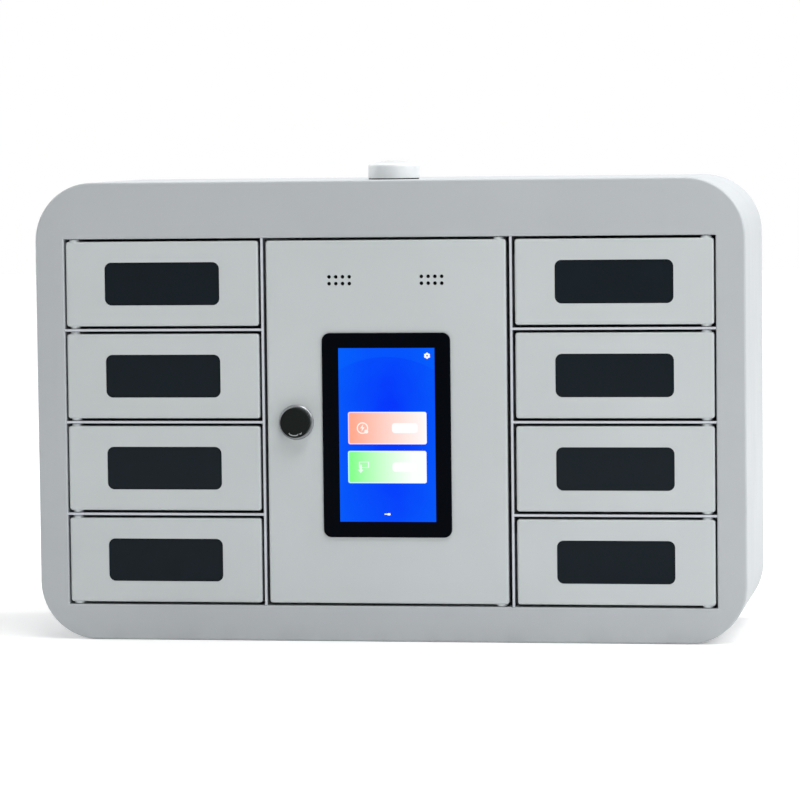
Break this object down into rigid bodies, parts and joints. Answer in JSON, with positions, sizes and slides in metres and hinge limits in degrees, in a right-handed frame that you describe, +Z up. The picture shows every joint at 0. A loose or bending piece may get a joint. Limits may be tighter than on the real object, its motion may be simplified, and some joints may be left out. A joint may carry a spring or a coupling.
{
  "type": "phone charging locker",
  "caption": "Wall or counter phone charging locker: rounded grey steel casing, windowed small doors in two columns, and a service door with touch screen, speakers and cam lock.",
  "frame": {"origin": "middle of the casing's flat base, halfway between its front face and its rear rim", "axes": "+X to the right as seen from the front, +Y from the front to the back, +Z up"},
  "size_m": [0.63, 0.2095, 0.4229],
  "materials": {
    "shell_paint": "fine-textured light grey powder coat",
    "door_paint": "fine-textured light grey powder coat",
    "zinc_sheet": "zinc-plated sheet steel",
    "bright_steel": "polished chrome",
    "dark_steel": "blackened steel",
    "yellow_zinc": "yellow-passivated zinc plating",
    "brass": "bare brass",
    "tinted_pane": "smoke-tinted acrylic, gloss",
    "screen_glass": "cover glass printed black round the view",
    "screen_lit": "liquid-crystal panel, lit",
    "black_plastic": "satin black moulding",
    "black_matte": "matt black moulding",
    "white_plastic": "off-white moulding",
    "rubber": "black rubber",
    "board": "green circuit board",
    "red_plastic": "translucent red rocker"
  },
  "bodies": {
    "cabinet": {"casing": "shell_paint", "fascia": "shell_paint", "back_panel": "shell_paint", "partitions": "shell_paint", "side_walls": "zinc_sheet", "shelves": "shell_paint", "pivot_pins": "dark_steel", "lock_housings": "zinc_sheet", "cable_grommets": "rubber", "power_supply": "zinc_sheet", "control_board": "board", "power_inlet": "black_matte", "antenna": "white_plastic", "antenna_gasket": "rubber", "antenna_nut": "zinc_sheet", "back_screws": "zinc_sheet"},
    "service_door": {"service_door": "door_paint", "cover_glass": "screen_glass", "screen_panel": "screen_lit", "screen_tray": "zinc_sheet", "main_board": "board", "speakers": "black_matte", "lock_barrel": "bright_steel", "lock_nut": "zinc_sheet"},
    "lock_plug": {"lock_plug": "brass", "lock_cam": "zinc_sheet"},
    "dust_cover": {"dust_cover": "black_plastic"},
    "power_rocker": {"power_rocker": "red_plastic"},
    "door_left_1": {"door_left_1": "door_paint", "window_left_1": "tinted_pane", "strike_left_1": "zinc_sheet"},
    "door_left_2": {"door_left_2": "door_paint", "window_left_2": "tinted_pane", "strike_left_2": "zinc_sheet"},
    "door_left_3": {"door_left_3": "door_paint", "window_left_3": "tinted_pane", "strike_left_3": "zinc_sheet"},
    "door_left_4": {"door_left_4": "door_paint", "window_left_4": "tinted_pane", "strike_left_4": "zinc_sheet"},
    "door_right_1": {"door_right_1": "door_paint", "window_right_1": "tinted_pane", "strike_right_1": "zinc_sheet"},
    "door_right_2": {"door_right_2": "door_paint", "window_right_2": "tinted_pane", "strike_right_2": "zinc_sheet"},
    "door_right_3": {"door_right_3": "door_paint", "window_right_3": "tinted_pane", "strike_right_3": "zinc_sheet"},
    "door_right_4": {"door_right_4": "door_paint", "window_right_4": "tinted_pane", "strike_right_4": "zinc_sheet"},
    "claw_left_1": {"claw_left_1": "yellow_zinc"},
    "claw_left_2": {"claw_left_2": "yellow_zinc"},
    "claw_left_3": {"claw_left_3": "yellow_zinc"},
    "claw_left_4": {"claw_left_4": "yellow_zinc"},
    "claw_right_1": {"claw_right_1": "yellow_zinc"},
    "claw_right_2": {"claw_right_2": "yellow_zinc"},
    "claw_right_3": {"claw_right_3": "yellow_zinc"},
    "claw_right_4": {"claw_right_4": "yellow_zinc"}
  },
  "joints": [
    {"name": "service_door_hinge", "type": "hinge", "parent": "cabinet", "child": "service_door", "pos_m": [0.0992, -0.0945, 0.1939], "axis": [0, 0, 1], "range_deg": [0, 110]},
    {"name": "key_turn", "type": "hinge", "parent": "service_door", "child": "lock_plug", "pos_m": [-0.081, -0.1, 0.1939], "axis": [0, -1, 0], "range_deg": [0, 90]},
    {"name": "dust_cover_swing", "type": "hinge", "parent": "service_door", "child": "dust_cover", "pos_m": [-0.081, -0.103, 0.2044], "axis": [0, -1, 0], "range_deg": [-120, 120]},
    {"name": "power_rocker_tilt", "type": "hinge", "parent": "cabinet", "child": "power_rocker", "pos_m": [-0.065, 0.092, 0.062], "axis": [1, 0, 0], "range_deg": [0, 16]},
    {"name": "door_left_1_hinge", "type": "hinge", "parent": "cabinet", "child": "door_left_1", "pos_m": [-0.2804, -0.0945, 0.31645], "axis": [0, 0, -1], "range_deg": [0, 110]},
    {"name": "door_left_2_hinge", "type": "hinge", "parent": "cabinet", "child": "door_left_2", "pos_m": [-0.2804, -0.0945, 0.23475], "axis": [0, 0, -1], "range_deg": [0, 110]},
    {"name": "door_left_3_hinge", "type": "hinge", "parent": "cabinet", "child": "door_left_3", "pos_m": [-0.2804, -0.0945, 0.15305], "axis": [0, 0, -1], "range_deg": [0, 110]},
    {"name": "door_left_4_hinge", "type": "hinge", "parent": "cabinet", "child": "door_left_4", "pos_m": [-0.2804, -0.0945, 0.07135], "axis": [0, 0, -1], "range_deg": [0, 110]},
    {"name": "door_right_1_hinge", "type": "hinge", "parent": "cabinet", "child": "door_right_1", "pos_m": [0.2804, -0.0945, 0.31645], "axis": [0, 0, 1], "range_deg": [0, 110]},
    {"name": "door_right_2_hinge", "type": "hinge", "parent": "cabinet", "child": "door_right_2", "pos_m": [0.2804, -0.0945, 0.23475], "axis": [0, 0, 1], "range_deg": [0, 110]},
    {"name": "door_right_3_hinge", "type": "hinge", "parent": "cabinet", "child": "door_right_3", "pos_m": [0.2804, -0.0945, 0.15305], "axis": [0, 0, 1], "range_deg": [0, 110]},
    {"name": "door_right_4_hinge", "type": "hinge", "parent": "cabinet", "child": "door_right_4", "pos_m": [0.2804, -0.0945, 0.07135], "axis": [0, 0, 1], "range_deg": [0, 110]},
    {"name": "claw_left_1_turn", "type": "hinge", "parent": "cabinet", "child": "claw_left_1", "pos_m": [-0.1184, -0.056, 0.30745], "axis": [-1, 0, 0], "range_deg": [0, 22], "stiffness_Nm_per_rad": 0.01, "springref_deg": -11.46},
    {"name": "claw_left_2_turn", "type": "hinge", "parent": "cabinet", "child": "claw_left_2", "pos_m": [-0.1184, -0.056, 0.22575], "axis": [-1, 0, 0], "range_deg": [0, 22], "stiffness_Nm_per_rad": 0.01, "springref_deg": -11.46},
    {"name": "claw_left_3_turn", "type": "hinge", "parent": "cabinet", "child": "claw_left_3", "pos_m": [-0.1184, -0.056, 0.14405], "axis": [-1, 0, 0], "range_deg": [0, 22], "stiffness_Nm_per_rad": 0.01, "springref_deg": -11.46},
    {"name": "claw_left_4_turn", "type": "hinge", "parent": "cabinet", "child": "claw_left_4", "pos_m": [-0.1184, -0.056, 0.06235], "axis": [-1, 0, 0], "range_deg": [0, 22], "stiffness_Nm_per_rad": 0.01, "springref_deg": -11.46},
    {"name": "claw_right_1_turn", "type": "hinge", "parent": "cabinet", "child": "claw_right_1", "pos_m": [0.1184, -0.056, 0.30745], "axis": [-1, 0, 0], "range_deg": [0, 22], "stiffness_Nm_per_rad": 0.01, "springref_deg": -11.46},
    {"name": "claw_right_2_turn", "type": "hinge", "parent": "cabinet", "child": "claw_right_2", "pos_m": [0.1184, -0.056, 0.22575], "axis": [-1, 0, 0], "range_deg": [0, 22], "stiffness_Nm_per_rad": 0.01, "springref_deg": -11.46},
    {"name": "claw_right_3_turn", "type": "hinge", "parent": "cabinet", "child": "claw_right_3", "pos_m": [0.1184, -0.056, 0.14405], "axis": [-1, 0, 0], "range_deg": [0, 22], "stiffness_Nm_per_rad": 0.01, "springref_deg": -11.46},
    {"name": "claw_right_4_turn", "type": "hinge", "parent": "cabinet", "child": "claw_right_4", "pos_m": [0.1184, -0.056, 0.06235], "axis": [-1, 0, 0], "range_deg": [0, 22], "stiffness_Nm_per_rad": 0.01, "springref_deg": -11.46}
  ]
}
